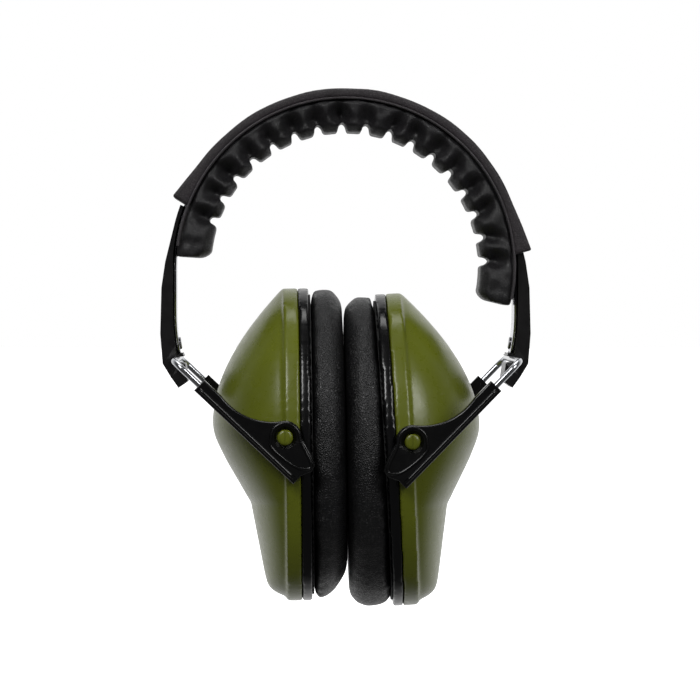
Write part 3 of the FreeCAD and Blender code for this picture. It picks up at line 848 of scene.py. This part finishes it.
    def piping(self, end: str, y: int) -> Piece:
        """The thin rolled bead in the crease between sleeve and pad.

        Args:
            end: front or rear.
            y: -1 at the front, 1 at the rear.
        """
        centre = ARCH_CENTRE + Vector((0.0, y * (self.half_width + self.piping_proud) * MM, 0.0))
        bpy.ops.mesh.primitive_torus_add(
            location=centre,
            rotation=(math.pi / 2, 0.0, 0.0),
            major_radius=(self.seam_radius - 0.2) * MM,
            minor_radius=self.piping_radius * MM,
            major_segments=300,
            minor_segments=12,
        )
        piece = bpy.context.object
        piece.name = f"piping_{end}"
        bpy.ops.object.transform_apply(location=True, rotation=True, scale=True)
        only(piece)
        bpy.ops.object.mode_set(mode="EDIT")
        bpy.ops.mesh.select_all(action="SELECT")
        bpy.ops.mesh.normals_make_consistent(inside=False)
        bpy.ops.object.mode_set(mode="OBJECT")
        return self.trim_piping(piece)

    def trim_piping(self, piece: Piece) -> Piece:
        """Cuts the bead's full ring back to the pad's two ends.

        Args:
            piece: the full ring.
        Returns:
            The same piece, open where the pad ends and closed at both tips.
        """
        low, high = self.first_angle + 0.8, self.last_angle - 0.8
        mesh = piece.data
        for vertex in mesh.vertices:
            vertex.select = not low <= to_arch(vertex.co)[0] <= high
        for item in [*mesh.edges, *mesh.polygons]:
            item.select = any(mesh.vertices[number].select for number in item.vertices)
        only(piece)
        bpy.ops.object.mode_set(mode="EDIT")
        bpy.ops.mesh.delete(type="VERT")
        bpy.ops.mesh.select_all(action="SELECT")
        bpy.ops.mesh.region_to_loop()
        bpy.ops.mesh.edge_face_add()
        bpy.ops.object.mode_set(mode="OBJECT")
        return piece


# ---------------------------------------------------------------- sides


@dataclass
class SideRail:
    """The plastic rail that carries the strip's end, with its rivet."""

    side: Side

    def build(self) -> None:
        """Builds and dresses the rail and the rivet."""
        body = self.side.named("band")
        rigid_skin(self.side.named("side_rail"), body, RAIL_BLACK, 30.0)
        rigid_skin(self.side.named("band_rivet"), body, RIVET_STEEL, 40.0)


@dataclass
class WireFork:
    """The bent wire fork that swings under the rail."""

    side: Side

    def build(self) -> None:
        """Builds and dresses the fork."""
        rigid_skin(self.side.named("wire_fork"), self.side.named("fork"), WIRE_STEEL, 60.0)


def joint_point(name: str) -> Vector:
    """Where a joint turns, in metres."""
    return Vector(next(joint["pos_m"] for joint in frame["joints"] if joint["name"] == name))


def bead(name: str, points: list[Vector], radius: float, closed: bool) -> Piece:
    """A rounded bead along a smooth line.

    Args:
        name: the piece's name.
        points: the control points, in metres.
        radius: the bead's radius, in metres.
        closed: whether the line runs back to its start.
    Returns:
        The bead as a mesh.
    """
    curve = bpy.data.curves.new(name, "CURVE")
    curve.dimensions = "3D"
    spline = curve.splines.new("NURBS")
    spline.points.add(len(points) - 1)
    for control, point in zip(spline.points, points):
        control.co = (*point, 1.0)
    spline.order_u = 3
    spline.use_cyclic_u = closed
    spline.use_endpoint_u = not closed
    spline.resolution_u = 6
    curve.bevel_depth = radius
    curve.bevel_resolution = 3
    curve.use_fill_caps = True
    piece = bpy.data.objects.new(name, curve)
    bpy.context.scene.collection.objects.link(piece)
    only(piece)
    bpy.ops.object.convert(target="MESH")
    bpy.ops.object.mode_set(mode="EDIT")
    bpy.ops.mesh.select_all(action="SELECT")
    bpy.ops.mesh.remove_doubles(threshold=0.01 * MM)
    bpy.ops.mesh.normals_make_consistent(inside=False)
    bpy.ops.object.mode_set(mode="OBJECT")
    bpy.ops.object.shade_smooth()
    return bpy.context.object


@dataclass
class SlidingArms:
    """The two plastic arms that slide on the fork's legs and hold the cup's pins.

    Places on an arm are along the leg and across it, in mm from the crossbar.
    """

    side: Side
    face: float = 42.4
    tube_start: float = 12.6
    tube_end: float = 56.0
    ridge_across: float = -0.9
    ridge_radius: float = 0.7
    lip_radius: float = 0.55
    lip_sink: float = 0.05

    def build(self) -> None:
        """Builds and dresses both arms with their ridges and lips."""
        hinge = joint_point(self.side.named("fold"))
        slide = next(j for j in frame["joints"] if j["name"] == self.side.named("adjust"))
        self.hinge = Vector((hinge.x, 0.0, hinge.z))
        self.along = Vector(slide["axis"])
        self.across = Vector((self.along.z * self.side.sign, 0.0, abs(self.along.x)))
        for end, sign in (("front_arm", -1), ("rear_arm", 1)):
            arms = self.side.named("arms")
            rigid_skin(self.side.named(end), arms, ARM_BLACK, 28.0)
            ridge = [self.at(s, self.ridge_across, sign) for s in self.ridge_stations()]
            self.trim(bead(f"{self.side.named(end)}_ridge", ridge, self.ridge_radius * MM, False))
            lip = [self.at(s, n, sign) for s, n in self.lip_outline()]
            self.trim(bead(f"{self.side.named(end)}_lip", lip, self.lip_radius * MM, True))

    def at(self, along: float, across: float, end: int) -> Vector:
        """A point just under an arm's outer face."""
        flat = self.hinge + (self.along * along + self.across * across) * MM
        return Vector((flat.x, end * (self.face - self.lip_sink) * MM, flat.z))

    def ridge_stations(self) -> list[float]:
        """Stations of the ridge's control points along the tube."""
        count = 6
        return [self.tube_start + (self.tube_end - self.tube_start) * i / count for i in range(count + 1)]

    def lip_outline(self) -> list[tuple[float, float]]:
        """The drop-shaped lip round the eye and the pocket beside it."""
        eye_along, eye_across, radius = 44.5, 7.0, 5.0
        loop = []
        for degrees in (235, 200, 165, 130, 95, 60, 35):
            turn = math.radians(degrees)
            loop.append((eye_along + radius * math.cos(turn), eye_across + radius * math.sin(turn)))
        pocket = [(51.5, 8.7), (55.5, 7.4), (57.7, 6.2), (57.4, 4.6), (55.0, 2.4), (48.5, 1.3), (43.0, 1.3)]
        return loop + pocket

    def trim(self, piece: Piece) -> None:
        """Dresses a bead and lets it ride on the arms."""
        WARDROBE.dress(piece, ARM_BLACK)
        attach(piece, self.side.named("arms"))
        log.info("%s: %d faces", piece.name, len(piece.data.polygons))


@dataclass
class EarCup:
    """The deep shell, its base plate, foam and cushion ring."""

    side: Side
    pin_face: float = 42.08
    pin_line_radius: float = 0.2
    voxel: float = 0.65
    foam_voxel: float = 1.6

    def build(self) -> None:
        """Builds and dresses the cup's rigid pieces and its foam."""
        body = self.side.named("cup")
        rigid_skin(self.side.named("cup_shell"), body, OLIVE_SHELL, 50.0, self.voxel)
        for end, sign in (("front", -1), ("rear", 1)):
            self.pin_line(end, sign)
        rigid_skin(self.side.named("base_plate"), body, GLOSS_BLACK, 50.0, self.voxel)
        rigid_skin(self.side.named("cushion_ring"), body, RING_BLACK, 30.0)
        foam = clean_copy(self.side.named("acoustic_foam"), f"{self.side.word}_foam")
        even_mesh(foam, self.foam_voxel, 6)
        smooth(foam, 60.0)
        WARDROBE.dress(foam, CUP_FOAM)
        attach(foam, body)
        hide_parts(self.side.named("acoustic_foam"))
        log.info("%s: %d faces", foam.name, len(foam.data.polygons))

    def pin_line(self, end: str, sign: int) -> None:
        """The fine parting ridge that the mould leaves down a pin's end.

        Args:
            end: front or rear.
            sign: -1 at the front, 1 at the rear.
        """
        pin = joint_point(self.side.named("cup_pivot"))
        points = [Vector((pin.x, sign * self.pin_face * MM, pin.z + h * MM)) for h in (-2.3, -1.0, 1.0, 2.3)]
        piece = bead(f"{self.side.word}_{end}_pin_line", points, self.pin_line_radius * MM, False)
        WARDROBE.dress(piece, OLIVE_SHELL)
        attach(piece, self.side.named("cup"))


@dataclass
class EarCushion:
    """The soft ring that seals round the ear. Lengths in mm."""

    side: Side
    voxel: float = 2.2
    swell: float = 1.3
    pressure: float = 4.0
    frames: int = 20
    plate_offset: float = 9.45
    left_tilt: float = 0.8
    right_tilt: float = 3.3
    mate_tilt: float = 1.1
    mate_gap: float = 0.12
    middle_drop: float = -4.0
    crease: float = 0.18
    crown: float = 0.7
    shoulder: float = 1.2
    tuck: float = 0.7
    foot_height: float = 22.0
    foot_lift: float = 6.5
    foot_drop: float = 1.6
    squashed: float = 0.72

    def build(self) -> None:
        """Swells, settles and dresses the cushion."""
        node = self.side.named("cushion")
        self.place_planes()
        piece = clean_copy(node, f"{self.side.word}_ear_cushion")
        even_mesh(piece, self.voxel, 2)
        self.puff(piece)
        apply(piece, "SUBSURF", levels=1, render_levels=1)
        reshape(piece, self.settle)
        smooth(piece, 80.0)
        WARDROBE.dress(piece, CUSHION_HIDE)
        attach(piece, self.side.named("cup"))
        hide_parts(node)
        fold = self.side.named("fold")
        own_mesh(piece)
        log.info("%s: %d faces", piece.name, len(piece.data.polygons))

    def puff(self, piece: Piece) -> None:
        """Blows the cushion up a little, as its foam fills its cover.

        Args:
            piece: the remeshed cushion.
        """
        before = [vertex.co.copy() for vertex in piece.data.vertices]
        only(piece)
        cloth = piece.modifiers.new("Puff", "CLOTH")
        cloth.settings.use_pressure = True
        cloth.settings.uniform_pressure_force = self.pressure
        cloth.settings.effector_weights.gravity = 0.0
        cloth.settings.quality = 6
        cloth.settings.mass = 0.15
        for stiffness in ("tension_stiffness", "compression_stiffness", "shear_stiffness"):
            setattr(cloth.settings, stiffness, 30.0)
        for number in range(1, self.frames + 1):
            bpy.context.scene.frame_set(number)
        bpy.ops.object.modifier_apply(modifier=cloth.name)
        bpy.context.scene.frame_set(1)
        limit = self.swell * MM
        for vertex, old in zip(piece.data.vertices, before):
            moved = vertex.co - old
            if moved.length > limit:
                vertex.co = old + moved * (limit / moved.length)

    def place_planes(self) -> None:
        """Finds the plane of the cup's plate and the plane where the two cushions meet."""
        inward = Vector((-self.side.sign, 0.0, 0.0))
        tilt = self.left_tilt if self.side is Side.LEFT else self.right_tilt
        pin = joint_point(self.side.named("cup_pivot"))
        other = joint_point(self.side.other.named("cup_pivot"))
        self.plate_normal = Matrix.Rotation(math.radians(-tilt), 3, "Y") @ inward
        self.plate_point = Vector((pin.x, 0.0, pin.z)) + self.plate_normal * self.plate_offset * MM
        self.mate_normal = Matrix.Rotation(math.radians(-self.mate_tilt), 3, "Y") @ inward
        self.mate_point = Vector((self.side.sign * self.mate_gap * MM, 0.0, (pin.z + other.z) / 2))
        self.foot = min(vertex.co.z for vertex in frame["nodes"][self.side.named("cushion")].data.vertices)

    def settle(self, point: Vector) -> Vector:
        """Presses the cushion to its plate and its mate, creases its cover and shapes its foot.

        Args:
            point: a point of the swollen cushion.
        Returns:
            The point's new place.
        """
        crease = noise.noise(point * 160.0) + 0.6 * noise.noise(point * 420.0)
        middle = self.plate_point + Vector((0.0, 0.0, self.middle_drop * MM))
        outward = Vector((0.0, point.y - middle.y, (point.z - middle.z) * 0.7)).normalized()
        above = (point - self.plate_point).dot(self.plate_normal)
        below = (self.mate_point - point).dot(self.mate_normal)
        share = min(max(above / (above + below), 0.0), 1.0)
        if self.side is Side.LEFT:
            low = step(self.foot + self.foot_height * MM - point.z, 0.0, self.foot_height * MM)
            point.z += (self.foot_lift * share**1.2 - self.foot_drop * (1.0 - share)) * low * MM
        swell = crease * self.crease + self.crown * 4.0 * share * (1.0 - share)
        swell -= self.shoulder * step(share, 0.5, 1.0) + self.tuck * (1.0 - step(share, 0.0, 0.16))
        point += outward * swell * MM
        if above < 0.0:
            point -= self.plate_normal * above
        if below < 0.0:
            point += self.mate_normal * below
        return point


# ---------------------------------------------------------------- studio


@dataclass
class Studio:
    """The pale floor, the soft lights and the camera. Lengths in metres."""

    eye: tuple[float, float, float] = (-0.024, -1.3, -0.056)
    target: tuple[float, float, float] = (0.0017, 0.0, -0.0723)
    view_degrees: float = 10.64
    front_tone: float = 0.08
    floor_glow: float = 1.0
    floor_drop: float = 0.024

    def build(self) -> None:
        """Builds the studio."""
        self.floor()
        self.lights()
        self.camera()

    def floor(self) -> None:
        """A wide pale floor, low enough for a fully lowered cup."""
        low = CAD_BOX[0]
        bpy.ops.mesh.primitive_circle_add(
            vertices=96, radius=8.0, fill_type="NGON", location=(0.0, 0.0, low[2] - self.floor_drop)
        )
        floor = bpy.context.object
        floor.name = "floor"
        material, nodes, shader, place = start_material("pale_floor")
        drift = nodes.group(TONE_DRIFT, Vector=place, Scale=3.0)
        tone = nodes.mix(drift.outputs["Broad"], (0.93, 0.93, 0.93, 1.0), (0.95, 0.95, 0.95, 1.0))
        nodes.join(tone, shader.inputs["Base Color"])
        shader.inputs["Roughness"].default_value = 0.9
        shader.inputs["Emission Color"].default_value = (1.0, 1.0, 1.0, 1.0)
        shader.inputs["Emission Strength"].default_value = self.floor_glow
        floor.data.materials.append(material)
        floor.visible_diffuse = False
        floor.visible_glossy = False

    def lights(self) -> None:
        """An even white surround and large soft lights."""
        world = bpy.data.worlds.new("white_surround")
        world.use_nodes = True
        nodes = Nodes(world.node_tree)
        back = world.node_tree.nodes["Background"]
        split = nodes.add("SeparateXYZ", Vector=nodes.add("TexCoord").outputs["Generated"])
        behind = nodes.ramp(split.outputs["Y"], -0.1, 0.75)
        dim, bright = (self.front_tone,) * 3 + (1.0,), (1.0, 1.0, 1.0, 1.0)
        around = nodes.mix(behind, dim, bright)
        seen = nodes.add("LightPath").outputs["Is Camera Ray"]
        nodes.join(nodes.mix(seen, around, bright), back.inputs["Color"])
        bpy.context.scene.world = world
        self.lamp("key_light", (-0.55, -1.1, 0.75), 0.5, 8.0)
        self.lamp("fill_light", (0.8, -1.0, 0.55), 0.5, 6.0)
        self.lamp("top_light", (0.0, 0.1, 1.3), 0.8, 8.0)

    def lamp(self, name: str, place: tuple[float, float, float], size: float, power: float) -> None:
        """Adds one square soft light aimed at the object.

        Args:
            name: the light's name.
            place: where it hangs.
            size: its side.
            power: its power in watts.
        """
        data = bpy.data.lights.new(name, "AREA")
        data.size = size
        data.energy = power
        light = bpy.data.objects.new(name, data)
        bpy.context.scene.collection.objects.link(light)
        aim = Vector(self.target) - Vector(place)
        light.matrix_world = Matrix.Translation(place) @ aim.to_track_quat("-Z", "Y").to_matrix().to_4x4()

    def camera(self) -> None:
        """The camera, a little left of the middle and level with the cups' tops."""
        data = bpy.data.cameras.new("camera")
        data.sensor_fit = "HORIZONTAL"
        data.angle = math.radians(self.view_degrees)
        data.clip_start = 0.05
        data.clip_end = 50.0
        camera = bpy.data.objects.new("camera", data)
        bpy.context.scene.collection.objects.link(camera)
        aim = Vector(self.target) - Vector(self.eye)
        camera.matrix_world = Matrix.Translation(self.eye) @ aim.to_track_quat("-Z", "Y").to_matrix().to_4x4()
        bpy.context.scene.camera = camera


def main() -> None:
    """Builds the earmuffs from the headband down, then the studio."""
    logging.basicConfig(level=logging.INFO, format="%(name)s: %(message)s")
    bpy.context.scene.view_settings.view_transform = "Standard"
    HeadBand().build()
    for side in Side:
        for assembly in (SideRail, WireFork, SlidingArms, EarCup, EarCushion):
            assembly(side).build()
            log.info("%s %s built", side.word, assembly.__name__)
    Studio().build()


if __name__ == "__main__":
    main()
